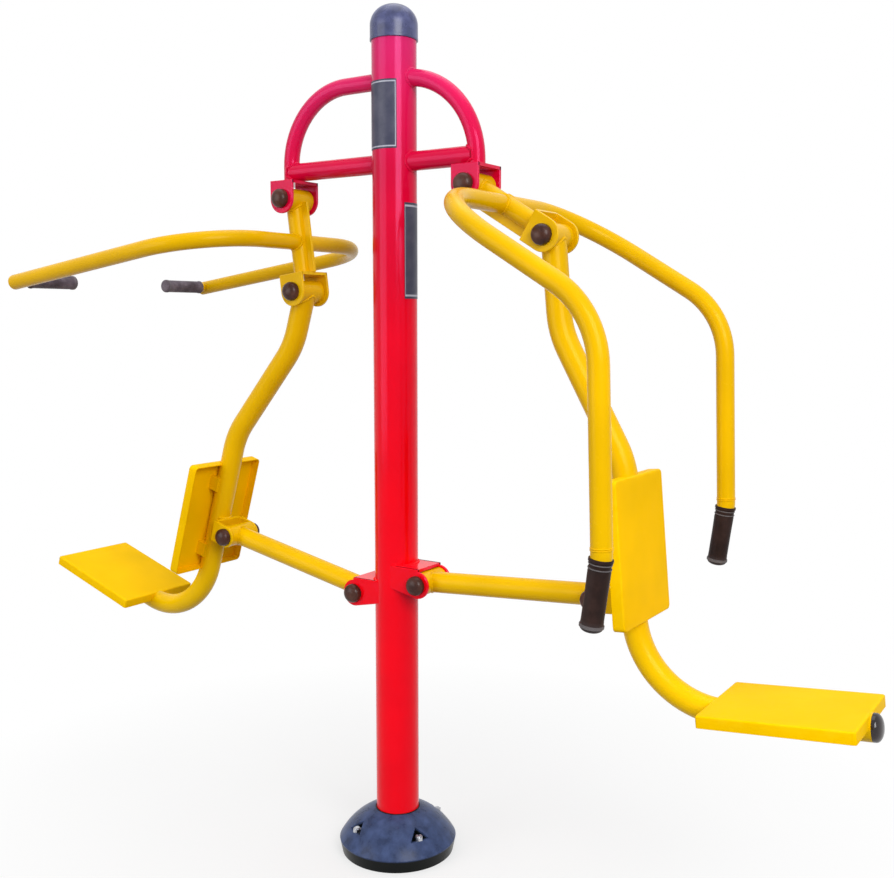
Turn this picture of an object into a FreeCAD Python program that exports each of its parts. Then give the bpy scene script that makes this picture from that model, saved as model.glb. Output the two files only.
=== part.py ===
import FreeCAD, Part
import math
import os
import re

# Double outdoor exercise machine on one post: a pull station towards -X and a press station towards +X.
# Each station is a four-bar linkage: post, swinging lever, hanging seat frame and a link back to the post.
# Origin on the post axis at ground level, +Z up, every pivot axis along Y.

SIZES = [
    # post, cap, base
    ("postRadius", 57.15), ("postWall", 4.0), ("postTop", 2150.0),
    ("capRadius", 61.0), ("capFoot", 30.0), ("capSkirt", 39.0), ("capDome", 51.0), ("capBore", 57.35),
    ("plateRadius", 145.0), ("plateThick", 12.0), ("anchorRing", 115.0), ("anchorHole", 9.0),
    ("studRing", 121.0), ("studRadius", 7.0), ("studTop", 81.0), ("studHole", 8.0),
    ("nutWide", 11.5), ("nutTall", 9.0), ("pocketTurn", -27.0), ("anchorTurn", 45.0),
    ("coverRadius", 150.0), ("coverFlare", 173.5), ("coverTop", 116.0), ("coverSphere", 181.2),
    ("coverDrop", 55.8),
    ("coverSkin", 4.0), ("coverBore", 57.45), ("pocketCentre", 146.0), ("pocketSpan", 45.0),
    ("pocketFloor", 69.0),
    # overhead arms
    ("archRadius", 21.2), ("archWall", 3.0), ("pullArchBend", 189.0), ("pressArchBend", 217.0),
    ("archHeight", 2027.0),
    ("barRadius", 24.15), ("barWall", 3.2), ("barHeight", 1821.0), ("pullReach", 346.0),
    ("pressReach", 247.0),
    # pivots
    ("pivotHeight", 1748.4), ("pullPivot", 338.0), ("pressPivot", 245.0),
    ("pinRadius", 10.0), ("pinHole", 10.05), ("barrelBore", 10.06), ("barrelRadius", 30.0),
    ("barrelHalf", 45.5),
    ("earInner", 46.0), ("earOuter", 54.0), ("earThick", 8.0), ("topEar", 39.0), ("lowEar", 40.0),
    ("seatEar", 31.0), ("lugEar", 35.0), ("lugTilt", 12.0), ("roofNear", 33.0),
    ("webNear", 40.0), ("webThick", 8.0), ("lugWeb", 14.0), ("headWide", 17.0), ("headTall", 12.0),
    ("pinCap", 25.0), ("pinCapRim", 8.0), ("pinCapDome", 16.0), ("pinCapBore", 20.6),
    ("pinCapDepth", 13.0),
    ("postLug", 102.0), ("pullLugHeight", 701.3), ("pressLugHeight", 748.6), ("lugRoot", 20.0),
    ("lugLip", 3.0),
    # levers
    ("leverLength", 249.5), ("leverRadius", 24.15), ("leverWall", 3.2), ("ribWide", 20.0),
    ("ribThick", 8.0),
    ("pullSwing", -7.8), ("pressSwing", 58.7), ("pullCross", 115.0), ("pressCross", 95.0),
    # handlebars and grips
    ("handleRadius", 21.2), ("handleWall", 2.8), ("handleHalf", 360.0), ("handleBend", 210.0),
    ("pullArm", 758.0), ("stubPlace", 18.0), ("stubRadius", 13.5), ("stubBore", 10.5),
    ("stubReach", 180.0),
    ("pullGrip", 20.0), ("pullGripLength", 156.0), ("endDome", 9.0), ("endRim", 3.0), ("spigot", 20.0),
    ("pressArm", 493.0), ("pressDrop", 56.7), ("pressRun", 479.0), ("pressTilt", 66.4),
    ("pressEnd", 144.0),
    ("pressBend", 200.0), ("gripBend", 60.0), ("pressTube", 22.5), ("pressGrip", 24.1),
    ("pressGripLength", 142.0), ("gripDome", 11.0), ("collarRadius", 25.9), ("collarLength", 10.0),
    ("gripSeat", 6.0),
    # seat frames
    ("seatRadius", 30.15), ("seatWall", 3.6), ("pullTurn", 11.6), ("pressTurn", 0.0),
    ("swayDepth", 300.0), ("swayOut", 168.0), ("pullSway", 155.0), ("pressSway", 222.0),
    ("swayLean", 0.0955),
    ("heelOut", 239.0), ("heelDepth", 1079.5), ("seatSlope", 0.105), ("seatEnd", 753.0),
    ("pullSeatEnd", 722.0),
    ("swayBend", 220.0), ("heelBend", 205.0), ("plugRim", 5.0), ("plugDome", 15.0), ("plugSpigot", 26.2),
    ("backWide", 260.0), ("backTall", 336.0), ("backDepth", 714.0), ("backFace", 36.5), ("backRim", 30.0),
    ("backCorner", 12.0), ("sheetThick", 3.0), ("tubeGap", 0.4), ("saddleWide", 76.0),
    ("saddleTall", 40.0), ("saddleApart", 210.0),
    ("panWide", 266.0), ("panLong", 330.0), ("panRim", 28.0), ("panCentre", 586.0), ("panCorner", 5.0),
    ("panRise", 32.9), ("pullLugDepth", 736.4), ("pressLugDepth", 828.5), ("lugStand", 80.0),
    # links
    ("linkRadius", 27.0), ("linkWall", 3.2), ("linkBarrel", 30.0), ("looseBore", 15.6),
    # bare label plates
    ("labelThick", 0.8), ("labelGap", 0.1), ("upperLabelFoot", 300.0), ("upperLabelTall", 168.0),
    ("upperLabelSpan", 92.0),
    ("lowerLabelFoot", 1478.0), ("lowerLabelTall", 240.0), ("lowerLabelSpan", 58.0),
]

vec = FreeCAD.Vector
doc = FreeCAD.newDocument("PullPressMachine")
sheet = doc.addObject("Spreadsheet::Sheet", "Sheet")
for row, (alias, value) in enumerate(SIZES, start=1):
    sheet.set("A%d" % row, alias)
    sheet.set("B%d" % row, repr(value))
    sheet.setAlias("B%d" % row, alias)
doc.recompute()

nodes = []


def size(alias):
    return float(sheet.get(alias))


def bind(thing, **links):
    for prop, text in links.items():
        thing.setExpression(prop, re.sub(r"([a-z][A-Za-z]+)", r"Sheet.\1", text))
    return thing


def put(thing, at=(0, 0, 0), angle=0.0, axis=(0, 1, 0)):
    thing.Placement = FreeCAD.Placement(vec(*at), FreeCAD.Rotation(vec(*axis), angle))
    return thing


def aim(thing, at, direction):
    thing.Placement = FreeCAD.Placement(vec(*at), FreeCAD.Rotation(vec(0, 0, 1), vec(*direction)))
    return thing


def block(length, width, height, at):
    return put(bind(doc.addObject("Part::Box", "Block"), Length=length, Width=width, Height=height), at)


def rod(radius, height, at=(0, 0, 0), along=(0, 0, 1)):
    return aim(bind(doc.addObject("Part::Cylinder", "Rod"), Radius=radius, Height=height), at, along)


def cross_rod(radius, half, at=(0, 0, 0)):
    start = (at[0], at[1] - reach(half), at[2])
    return rod(radius, "2 * (%s)" % half, start, (0, 1, 0))


def reach(text):
    total = 0.0
    for word in text.split("+"):
        word = word.strip()
        total += size(word) if word[0].isalpha() else float(word)
    return total


def dome(radius, rise, at, along):
    # A spherical segment standing on a flat circle of the given radius.
    wide, high = size(radius), size(rise)
    ball = (wide * wide + high * high) / (2 * high)
    half = doc.addObject("Part::Sphere", "Dome")
    square = "%s * %s" % (radius, radius)
    bind(half, Radius="(%s + %s * %s) / (2 * %s)" % (square, rise, rise, rise))
    half.Angle1 = math.degrees(math.asin((ball - high) / ball))
    half.Angle2 = 90.0
    foot = vec(*at) - vec(*along) * (ball - high)
    return aim(half, foot, along)


def hexagon(span, height, at, along):
    prism = doc.addObject("Part::Prism", "Hexagon")
    prism.Polygon = 6
    return aim(bind(prism, Circumradius=span, Height=height), at, along)


def fuse(parts):
    joined = doc.addObject("Part::MultiFuse", "Joined")
    joined.Shapes = parts
    joined.Refine = True
    return joined


def cut(base, *tools):
    for tool in tools:
        trimmed = doc.addObject("Part::Cut", "Trimmed")
        trimmed.Base = base
        trimmed.Tool = tool
        base = trimmed
    return base


def common(one, other):
    shared = doc.addObject("Part::MultiCommon", "Shared")
    shared.Shapes = [one, other]
    return shared


def group(parts):
    bundle = doc.addObject("Part::Compound", "Bundle")
    bundle.Links = parts
    return bundle


def node(label, thing, placement=None):
    thing.Label = label
    if placement is not None:
        thing.Placement = placement
    nodes.append(thing)
    return thing


def bent_path(points, bends):
    # Straight runs joined by tangent arcs, one bend radius for each inner point.
    points = [vec(*p) for p in points]
    edges = []
    last = points[0]
    for before, corner, after, bend in zip(points, points[1:], points[2:], bends):
        to_before = (before - corner).normalize()
        to_after = (after - corner).normalize()
        half = to_before.getAngle(to_after) / 2
        run = bend / math.tan(half)
        middle = (to_before + to_after).normalize()
        start = corner + to_before * run
        end = corner + to_after * run
        crown = corner + middle * (bend / math.sin(half) - bend)
        edges.append(Part.LineSegment(last, start).toShape())
        edges.append(Part.Arc(start, crown, end).toShape())
        last = end
    edges.append(Part.LineSegment(last, points[-1]).toShape())
    path = doc.addObject("Part::Feature", "Path")
    path.Shape = Part.Wire(edges)
    return path


def swept(path, radius):
    ring = bind(doc.addObject("Part::Circle", "Ring"), Radius=radius)
    first = path.Shape.Edges[0]
    aim(ring, first.Vertexes[0].Point, first.tangentAt(first.FirstParameter))
    tube = doc.addObject("Part::Sweep", "Tube")
    tube.Sections = [ring]
    tube.Spine = (path, ["Edge%d" % (i + 1) for i in range(len(path.Shape.Edges))])
    tube.Solid = True
    tube.Frenet = False
    return tube


def bent_tube(points, bends, radius, wall):
    path = bent_path(points, bends)
    return cut(swept(path, radius), swept(path, "%s - %s" % (radius, wall)))


def barrel(radius, bore, at=(0, 0, 0)):
    return cut(cross_rod(radius, "barrelHalf", at), cross_rod(bore, "barrelHalf + 1", at))


def ears(span, drop):
    # Two plates with round ends about a pin at the origin, reaching up by drop.
    plates = []
    for side in (-1, 1):
        low = size("earInner") if side > 0 else -size("earOuter")
        plates.append(block("2 * " + span, "earThick", drop, (-size(span), low, 0)))
        plates.append(rod(span, "earThick", (0, low, 0), (0, 1, 0)))
    return plates


def clevis(span, web):
    drop = "webNear + " + web
    plate = block("2 * " + span, "2 * earOuter", web, (-size(span), -size("earOuter"), size("webNear")))
    return cut(fuse(ears(span, drop) + [plate]), cross_rod("pinHole", "earOuter + 1"))


def pin(at=(0, 0, 0)):
    x, y, z = at
    outer = size("earOuter")
    heads = [hexagon("headWide", "headTall", (x, side * outer, z), (0, side, 0)) for side in (-1, 1)]
    return fuse([cross_rod("pinRadius", "earOuter", at)] + heads)


def pin_cap(side, at=(0, 0, 0)):
    x, y, z = at
    foot = side * size("earOuter")
    out = (0, side, 0)
    rim = rod("pinCap", "pinCapRim", (x, foot, z), out)
    crown = dome("pinCap", "pinCapDome", (x, foot + side * size("pinCapRim"), z), out)
    hollow = rod("pinCapBore", "pinCapDepth + 1", (x, foot - side, z), out)
    return cut(fuse([rim, crown]), hollow)


def pin_caps(spots):
    return group([pin_cap(side, at) for at in spots for side in (-1, 1)])


def swing(angle, at=(0, 0, 0)):
    # A turn about the Y axis that carries a hanging part towards +X.
    return FreeCAD.Placement(vec(*at), FreeCAD.Rotation(vec(0, 1, 0), -angle))


def post_core():
    return rod("postRadius", "postTop", (0, 0, 0))


# Anchored base: flange plate with four anchor holes, dome cover held by nuts on welded studs in four pockets.
def ring_spots(ring, turn, height):
    spots = []
    for quarter in range(4):
        angle = math.radians(turn + 90 * quarter)
        spots.append((size(ring) * math.cos(angle), size(ring) * math.sin(angle), height))
    return spots


pocket_turn = size("pocketTurn")
plate = rod("plateRadius", "plateThick")
anchor_spots = ring_spots("anchorRing", pocket_turn + size("anchorTurn"), -1)
node("base_plate", cut(plate, *[rod("anchorHole", "plateThick + 2", spot) for spot in anchor_spots]))
stud_spots = ring_spots("studRing", pocket_turn, size("plateThick"))
node("cover_studs", group([rod("studRadius", "studTop - plateThick", spot) for spot in stud_spots]))


def nut(spot):
    x, y, z = spot
    bore = rod("studRadius", "nutTall + 2", (x, y, z - 1))
    return cut(hexagon("nutWide", "nutTall", spot, (0, 0, 1)), bore)


node("cover_nuts", group([nut(spot) for spot in ring_spots("studRing", pocket_turn, size("pocketFloor"))]))


def pocket(centre_angle, span, floor):
    prism = doc.addObject("Part::Prism", "Pocket")
    prism.Polygon = 4
    bind(prism, Circumradius=span, Height="coverTop")
    angle = math.radians(centre_angle)
    spot = (size("pocketCentre") * math.cos(angle), size("pocketCentre") * math.sin(angle), reach(floor))
    return put(prism, spot, centre_angle, (0, 0, 1))


def cover_bell(inset, foot):
    drum = doc.addObject("Part::Cone", "Rim")
    bind(drum, Radius1="coverRadius - " + inset, Radius2="coverFlare - " + inset,
         Height="coverTop - %s + %s" % (inset, foot))
    put(drum, (0, 0, -float(foot)))
    ball = bind(doc.addObject("Part::Sphere", "Bell"), Radius="coverSphere - " + inset)
    return common(drum, put(ball, (0, 0, -size("coverDrop"))))


pocket_angles = [pocket_turn + 90 * quarter for quarter in range(4)]
skin = size("coverSkin")
bell = cut(cover_bell("0", "0"), *[pocket(a, "pocketSpan", "pocketFloor") for a in pocket_angles])
room = cut(cover_bell("coverSkin", "1"),
           *[pocket(a, "pocketSpan + coverSkin * 1.414", "pocketFloor + -%g" % skin) for a in pocket_angles])
stud_holes = [rod("studHole", "coverTop", spot) for spot in stud_spots]
node("base_cover", cut(bell, room, rod("coverBore", "coverTop + 2", (0, 0, -1)), *stud_holes))

# Post, plastic cap, overhead arches, bars and the fixed clevises.
post_shell = rod("postRadius", "postTop - plateThick", (0, 0, size("plateThick")))
post_hollow = rod("postRadius - postWall", "postTop", (0, 0, size("plateThick") - 1))
node("post_tube", cut(post_shell, post_hollow))

cap_foot = size("postTop") - size("capFoot")
cap_skirt = rod("capRadius", "capSkirt", (0, 0, cap_foot))
cap_dome = dome("capRadius", "capDome", (0, 0, cap_foot + size("capSkirt")), (0, 0, 1))
cap_seat = rod("capBore", "capFoot + 1", (0, 0, cap_foot - 1))
node("post_cap", cut(fuse([cap_skirt, cap_dome]), cap_seat))

stations = {
    "pull": dict(side=-1, reach=size("pullReach"), pivot=size("pullPivot"), swing=size("pullSwing"),
                 turn=size("pullTurn"), sway=size("pullSway"), lug=size("pullLugDepth"),
                 lug_height=size("pullLugHeight"), cross=size("pullCross"), end=size("pullSeatEnd"),
                 tube="handleRadius", bend=size("pullArchBend")),
    "press": dict(side=1, reach=size("pressReach"), pivot=size("pressPivot"), swing=size("pressSwing"),
                  turn=size("pressTurn"), sway=size("pressSway"), lug=size("pressLugDepth"),
                  lug_height=size("pressLugHeight"), cross=size("pressCross"), end=size("seatEnd"),
                  tube="pressTube", bend=size("pressArchBend")),
}
clevis_top = reach("pivotHeight + webNear + webThick")

for name, info in stations.items():
    out = info["side"] * info["reach"]
    facing = FreeCAD.Placement(vec(0, 0, 0), FreeCAD.Rotation(vec(0, 0, 1), 0 if info["side"] > 0 else 180))
    info["facing"] = facing
    high = size("archHeight")
    arch_path = bent_path([(0, 0, high), (out, 0, high), (out, 0, clevis_top)], [info["bend"]])
    arch = cut(swept(arch_path, "archRadius"), swept(arch_path, "archRadius - archWall"))
    node(name + "_arch", cut(arch, post_core()))
    along = (info["side"], 0, 0)
    bar_foot = (0, 0, size("barHeight"))
    bar = cut(rod("barRadius", name + "Reach", bar_foot, along),
              rod("barRadius - barWall", name + "Reach + 2", (-info["side"], 0, size("barHeight")), along))
    node(name + "_bar", cut(bar, post_core(), swept(arch_path, "archRadius")))
    fixed = FreeCAD.Placement(vec(info["side"] * info["pivot"], 0, size("pivotHeight")), FreeCAD.Rotation())
    node(name + "_top_clevis", clevis("topEar", "webThick"), fixed)
    # Link lug: round ears with a rising heel and a roof plate run back to the post and are coped to it.
    root = size("lugRoot") - size("postLug")
    plates = []
    for side in (-1, 1):
        low = size("earInner") if side > 0 else -size("earOuter")
        plates.append(block("postLug - lugRoot + lugLip", "earThick", "roofNear + webThick", (root, low, 0)))
        heel = block("postLug - lugRoot", "earThick", "lugEar", (0, 0, 0))
        plates.append(put(heel, (0, low, 0), 180 + size("lugTilt")))
        plates.append(rod("lugEar", "earThick", (0, low, 0), (0, 1, 0)))
    plates.append(block("postLug - lugRoot + lugLip", "2 * earOuter", "webThick",
                        (root, -size("earOuter"), size("roofNear"))))
    core = rod("postRadius", "4 * webNear", (-size("postLug"), 0, -2 * size("webNear")))
    lug = cut(fuse(plates), core, cross_rod("pinHole", "earOuter + 1"))
    spot = FreeCAD.Placement(vec(size("postLug"), 0, info["lug_height"]), FreeCAD.Rotation())
    node(name + "_post_lug", lug, facing.multiply(spot))

fixed_pins = []
for name, info in stations.items():
    fixed_pins.append((info["side"] * info["pivot"], 0, size("pivotHeight")))
    fixed_pins.append((info["side"] * size("postLug"), 0, info["lug_height"]))
node("frame_pins", group([pin(spot) for spot in fixed_pins]))
node("frame_pin_caps", pin_caps(fixed_pins))


# Bare label plates: thin curved sheets on the post.
def label(foot, tall, span, facing_angle):
    sector = doc.addObject("Part::Cylinder", "Label")
    bind(sector, Radius="postRadius + labelGap + labelThick", Height=tall)
    sector.setExpression("Angle", "Sheet.%s * 1 deg" % span)
    put(sector, (0, 0, foot), facing_angle - size(span) / 2, (0, 0, 1))
    return cut(sector, rod("postRadius + labelGap", tall + " + 2", (0, 0, foot - 1)))


upper_foot = size("postTop") - size("upperLabelFoot")
node("upper_label", label(upper_foot, "upperLabelTall", "upperLabelSpan", -94.0))
node("lower_label", label(size("lowerLabelFoot"), "lowerLabelTall", "lowerLabelSpan", 0.0))


# Levers: a barrel on the top pin, a tube with a stiffening rib, a clevis, and the handlebar welded across.
def pull_handle(cross):
    arm, half = size("pullArm"), size("handleHalf")
    points = [(arm, -half, -cross), (0, -half, -cross), (0, half, -cross), (arm, half, -cross)]
    bar = bent_tube(points, [size("handleBend")] * 2, "handleRadius", "handleWall")
    stubs, grips, ends = [], [], []
    grip_start = reach("stubReach + endDome") - size("pullGripLength")
    for side in (-1, 1):
        foot = (arm - size("stubPlace"), side * half, -cross)
        inward = (0, -side, 0)
        arm_core = rod("handleRadius", "pullArm", (0, side * half, -cross), (1, 0, 0))
        stub_bore = rod("stubBore", "stubReach + 1", foot, inward)
        stub = cut(rod("stubRadius", "stubReach", foot, inward), stub_bore)
        stubs.append(cut(stub, arm_core))
        start = (foot[0], side * (half - grip_start), -cross)
        tip = (foot[0], side * (half - size("stubReach")), -cross)
        sleeve = rod("pullGrip", "pullGripLength - endDome", start, inward)
        grip = fuse([sleeve, dome("pullGrip", "endDome", tip, inward)])
        grips.append(cut(grip, rod("stubRadius", "stubReach", foot, inward)))
        end = (arm, side * half, -cross)
        rim_out = (arm + size("endRim"), side * half, -cross)
        inside = (arm - size("spigot"), side * half, -cross)
        ends.append(fuse([rod("handleRadius", "endRim", end, (1, 0, 0)),
                          dome("handleRadius", "endDome", rim_out, (1, 0, 0)),
                          rod("handleRadius - handleWall", "spigot", inside, (1, 0, 0))]))
    return bar, grips, stubs, ends


def press_handle(cross):
    half = size("handleHalf")
    knee = -cross - size("pressArm")

    def heading(angle):
        return (-math.sin(math.radians(angle)), 0, -math.cos(math.radians(angle)))

    drop, tilt = heading(size("pressDrop")), heading(size("pressTilt"))
    wrist = tuple(base + size("pressRun") * step for base, step in zip((0, 0, knee), drop))
    tip = tuple(base + size("pressEnd") * step for base, step in zip(wrist, tilt))
    near = [(p[0], -half, p[2]) for p in (tip, wrist, (0, 0, knee), (0, 0, -cross))]
    far = [(x, -y, z) for x, y, z in reversed(near)]
    bends = [size("gripBend"), size("pressBend"), size("handleBend")]
    bar = bent_tube(near + far, bends + bends[::-1], "pressTube", "handleWall")
    grips = []
    for side in (-1, 1):
        start = tuple(base + size("gripSeat") * step for base, step in zip(wrist, tilt))
        crown = tuple(base + size("pressGripLength") * step for base, step in zip(start, tilt))
        start = (start[0], side * half, start[2])
        crown = (crown[0], side * half, crown[2])
        sleeve = rod("pressGrip", "pressGripLength", start, tilt)
        collar = rod("collarRadius", "collarLength", start, tilt)
        grip = fuse([sleeve, collar, dome("pressGrip", "gripDome", crown, tilt)])
        grips.append(cut(grip, rod("pressTube", "pressEnd", (wrist[0], side * half, wrist[2]), tilt)))
    return bar, grips


for name, info in stations.items():
    pivot = (info["pivot"], 0, size("pivotHeight"))
    lever = info["facing"].multiply(swing(info["swing"], pivot))
    cross = info["cross"]
    low = size("leverLength")
    crossbar = cross_rod(info["tube"], "handleBend", (0, 0, -cross))
    web_top = low - reach("webNear + webThick")
    node(name + "_lever_barrel", barrel("barrelRadius", "barrelBore"), lever)
    tube = cut(rod("leverRadius", "leverLength - webNear - webThick", (0, 0, -web_top)),
               rod("leverRadius - leverWall", "leverLength", (0, 0, -web_top - 1)))
    node(name + "_lever_tube", cut(tube, cross_rod("barrelRadius", "barrelHalf"), crossbar), lever)
    rib = block("ribWide + leverRadius", "ribThick", "leverLength - webNear - webThick",
                (-size("leverRadius") - size("ribWide"), -size("ribThick") / 2, -web_top))
    node(name + "_lever_rib", cut(rib, cross_rod("barrelRadius", "barrelHalf"),
                                  rod("leverRadius", "leverLength", (0, 0, -web_top - 1))), lever)
    low_pivot = FreeCAD.Placement(vec(0, 0, -low), FreeCAD.Rotation())
    node(name + "_lever_clevis", clevis("lowEar", "webThick"), lever.multiply(low_pivot))
    if name == "pull":
        handlebar, grips, stubs, ends = pull_handle(cross)
        node("pull_grip_stubs", group(stubs), lever)
        node("pull_end_caps", group(ends), lever)
    else:
        handlebar, grips = press_handle(cross)
    node(name + "_handlebar", handlebar, lever)
    node(name + "_grips", group(grips), lever)
    node(name + "_lever_pin", pin(), lever.multiply(low_pivot))
    node(name + "_lever_pin_caps", pin_caps([(0, 0, 0)]), lever.multiply(low_pivot))
    angle = math.radians(info["swing"])
    info["low_pivot"] = (pivot[0] + low * math.sin(angle), 0, pivot[2] - low * math.cos(angle))


# Seat frames: an S-curved tube hung from the lower pin, with backrest, seat pan, end plug and link lug.
def seat_points(sway, end):
    first = (size("swayLean") * sway, 0, -sway)
    second = (first[0] + size("swayOut"), 0, -sway - size("swayDepth"))
    heel = (size("heelOut"), 0, -size("heelDepth"))
    tail = (end, 0, heel[2] + size("seatSlope") * (end - heel[0]))
    return [(0, 0, 0), first, second, heel, tail]


for name, info in stations.items():
    hang = info["facing"].multiply(swing(info["turn"], info["low_pivot"]))
    points = seat_points(info["sway"], info["end"])
    shoulder, heel, tail = [vec(*p) for p in points[2:]]
    down = (heel - shoulder).normalize()
    lean = math.degrees(math.atan2(down.x, -down.z))
    rise = math.degrees(math.atan(size("seatSlope")))
    bends = [size("swayBend"), size("swayBend"), size("heelBend")]
    node(name + "_seat_barrel", barrel("barrelRadius", "barrelBore"), hang)
    path = bent_path(points, bends)
    tube = cut(swept(path, "seatRadius"), swept(path, "seatRadius - seatWall"))
    node(name + "_seat_tube", cut(tube, cross_rod("barrelRadius", "barrelHalf")), hang)

    def tube_room(gap, local):
        # The space the bent tube takes, seen from a piece with the given place in the seat frame.
        room = group([swept(path, "seatRadius + %s" % gap)])
        room.Placement = local.inverse()
        return room

    def on_back(depth):
        # A point on the tube's straight back run at the given depth below the pin.
        step = (depth + shoulder.z) / -down.z
        return shoulder + down * step

    on_tube = swing(lean, on_back(size("backDepth")))
    back = hang.multiply(on_tube)
    tall, wide = size("backTall"), size("backWide")
    rim_foot = size("backFace") - size("backRim")
    thin = size("sheetThick")

    def tray(length, width, depth, corner, inset):
        # A flat block with its four upright edges rounded, inset all round for the inside of a pan.
        shrink = " - 2 * sheetThick" if inset else ""
        edge = thin if inset else 0.0
        body = block(length + shrink, width + shrink, depth, (edge, edge, 0))
        radius = size(corner) - edge
        if radius < 0.5:
            return body
        doc.recompute()
        rounded = doc.addObject("Part::Fillet", "Rounded")
        rounded.Base = body
        upright = [i + 1 for i, e in enumerate(body.Shape.Edges)
                   if abs(e.tangentAt(e.FirstParameter).z) > 0.99]
        rounded.Edges = [(i, radius, radius) for i in upright]
        return rounded

    def pan(length, width, depth, corner):
        outer = tray(length, width, depth, corner, False)
        inner = tray(length, width, depth, corner, True)
        raised = put(group([inner]), (0, 0, -size("sheetThick")))
        return cut(outer, raised)

    saddles = []
    for side in (-1, 1):
        middle = side * size("saddleApart") / 2
        slab = block("backFace - sheetThick", "saddleWide", "saddleTall",
                     (0, -size("saddleWide") / 2, middle - size("saddleTall") / 2))
        saddles.append(cut(slab, tube_room("0", on_tube)))
    node(name + "_back_saddles", group(saddles), back)

    # The pan is drawn face up, then stood with its face outwards and its rim towards the tube.
    upright = FreeCAD.Placement(vec(rim_foot, -wide / 2, tall / 2), FreeCAD.Rotation(vec(0, 1, 0), 90))
    backrest = pan("backTall", "backWide", "backRim", "backCorner")
    notch = tube_room("tubeGap", on_tube.multiply(upright))
    node(name + "_backrest", cut(backrest, notch), back.multiply(upright))

    run = size("panCentre") - heel.x
    centre = vec(size("panCentre"), 0, heel.z + size("seatSlope") * run)
    on_deck = swing(rise, centre)
    long, broad = size("panLong"), size("panWide")
    low_edge = size("panRise") - size("panRim")
    seat = pan("panLong", "panWide", "panRim", "panCorner")
    flat = FreeCAD.Placement(vec(-long / 2, -broad / 2, low_edge), FreeCAD.Rotation())
    laid = on_deck.multiply(flat)
    node(name + "_seat_pan", cut(seat, tube_room("0", laid)), hang.multiply(laid))

    end = swing(rise, tail)
    plug = fuse([rod("seatRadius", "plugRim", (0, 0, 0), (1, 0, 0)),
                 dome("seatRadius", "plugDome", (size("plugRim"), 0, 0), (1, 0, 0)),
                 rod("plugSpigot", "spigot", (-size("spigot"), 0, 0), (1, 0, 0))])
    node(name + "_tube_plug", plug, hang.multiply(end))

    axis_point = on_back(info["lug"])
    outward = vec(-down.z, 0, down.x)
    lug_pin = axis_point - outward * size("lugStand")
    lug_frame = FreeCAD.Placement(lug_pin, FreeCAD.Rotation(vec(0, 1, 0), 90 - lean))
    seat_lug = cut(clevis("seatEar", "lugWeb"), tube_room("0", lug_frame))
    node(name + "_seat_lug", seat_lug, hang.multiply(lug_frame))
    node(name + "_seat_pin", pin(), hang.multiply(lug_frame))
    node(name + "_seat_pin_caps", pin_caps([(0, 0, 0)]), hang.multiply(lug_frame))

    # Link from the post lug to the seat lug; the bore at the seat end is wide, where the loop is opened.
    free_end = swing(info["turn"], info["low_pivot"]).multVec(lug_pin)
    fixed_end = vec(size("postLug"), 0, info["lug_height"])
    span = (free_end - fixed_end).Length
    pitch = math.degrees(math.atan2(free_end.z - fixed_end.z, free_end.x - fixed_end.x))
    link = info["facing"].multiply(swing(pitch, fixed_end))
    stay = bind(doc.addObject("Part::Cylinder", "Stay"), Radius="linkRadius")
    stay.Height = span
    hollow = bind(doc.addObject("Part::Cylinder", "StayBore"), Radius="linkRadius - linkWall")
    hollow.Height = span
    ends = [cross_rod("linkBarrel", "barrelHalf", (place, 0, 0)) for place in (0, span)]
    tube = cut(aim(stay, (0, 0, 0), (1, 0, 0)), aim(hollow, (0, 0, 0), (1, 0, 0)), *ends)
    node(name + "_link_tube", tube, link)
    node(name + "_link_barrels", group([barrel("linkBarrel", "barrelBore"),
                                        barrel("linkBarrel", "looseBore", (span, 0, 0))]), link)
    print("%s: lower pivot %.3f %.3f, link %.3f mm at %.3f degrees, free end %.3f %.3f" % (
        name, info["low_pivot"][0], info["low_pivot"][2], span, pitch, free_end.x, free_end.z))

doc.recompute()
faults = [thing.Name for thing in doc.Objects if "Invalid" in thing.State or "Error" in thing.State]
for thing in nodes:
    if thing.Shape.isNull() or not thing.Shape.isValid() or not thing.Shape.Solids:
        faults.append(thing.Label)
if faults:
    raise RuntimeError("faulty objects: " + ", ".join(faults))

os.makedirs("parts", exist_ok=True)
for thing in nodes:
    thing.Shape.exportStep("parts/%s.step" % thing.Label)
    box = thing.Shape.BoundBox
    print("%-24s %d solids %9.0f mm3  x %.0f %.0f y %.0f %.0f z %.0f %.0f" % (
        thing.Label, len(thing.Shape.Solids), thing.Shape.Volume,
        box.XMin, box.XMax, box.YMin, box.YMax, box.ZMin, box.ZMax))
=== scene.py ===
import bpy
import math
import numpy as np
from functools import partial
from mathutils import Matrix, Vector


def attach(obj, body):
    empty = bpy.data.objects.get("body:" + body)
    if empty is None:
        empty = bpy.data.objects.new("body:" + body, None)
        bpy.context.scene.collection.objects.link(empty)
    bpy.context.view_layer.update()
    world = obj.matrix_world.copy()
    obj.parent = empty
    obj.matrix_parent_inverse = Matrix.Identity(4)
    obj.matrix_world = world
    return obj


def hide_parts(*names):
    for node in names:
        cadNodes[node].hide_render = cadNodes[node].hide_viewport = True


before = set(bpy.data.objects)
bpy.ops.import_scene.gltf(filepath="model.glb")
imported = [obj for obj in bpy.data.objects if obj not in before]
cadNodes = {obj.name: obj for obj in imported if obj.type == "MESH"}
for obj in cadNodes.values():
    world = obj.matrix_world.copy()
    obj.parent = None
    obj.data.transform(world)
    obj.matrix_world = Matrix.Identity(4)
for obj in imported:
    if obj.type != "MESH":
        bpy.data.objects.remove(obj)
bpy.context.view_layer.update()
print("frame loaded:", len(cadNodes), "nodes")

# Lengths are millimetres until makePiece turns them to metres.
# x runs from the pull seat to the press seat, z up the post, and every pivot lies along y.
here = np.eye(4)
alongX, alongY, alongZ = (1, 0, 0), (0, 1, 0), (0, 0, 1)
mmPerMetre = 1000.0


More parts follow.
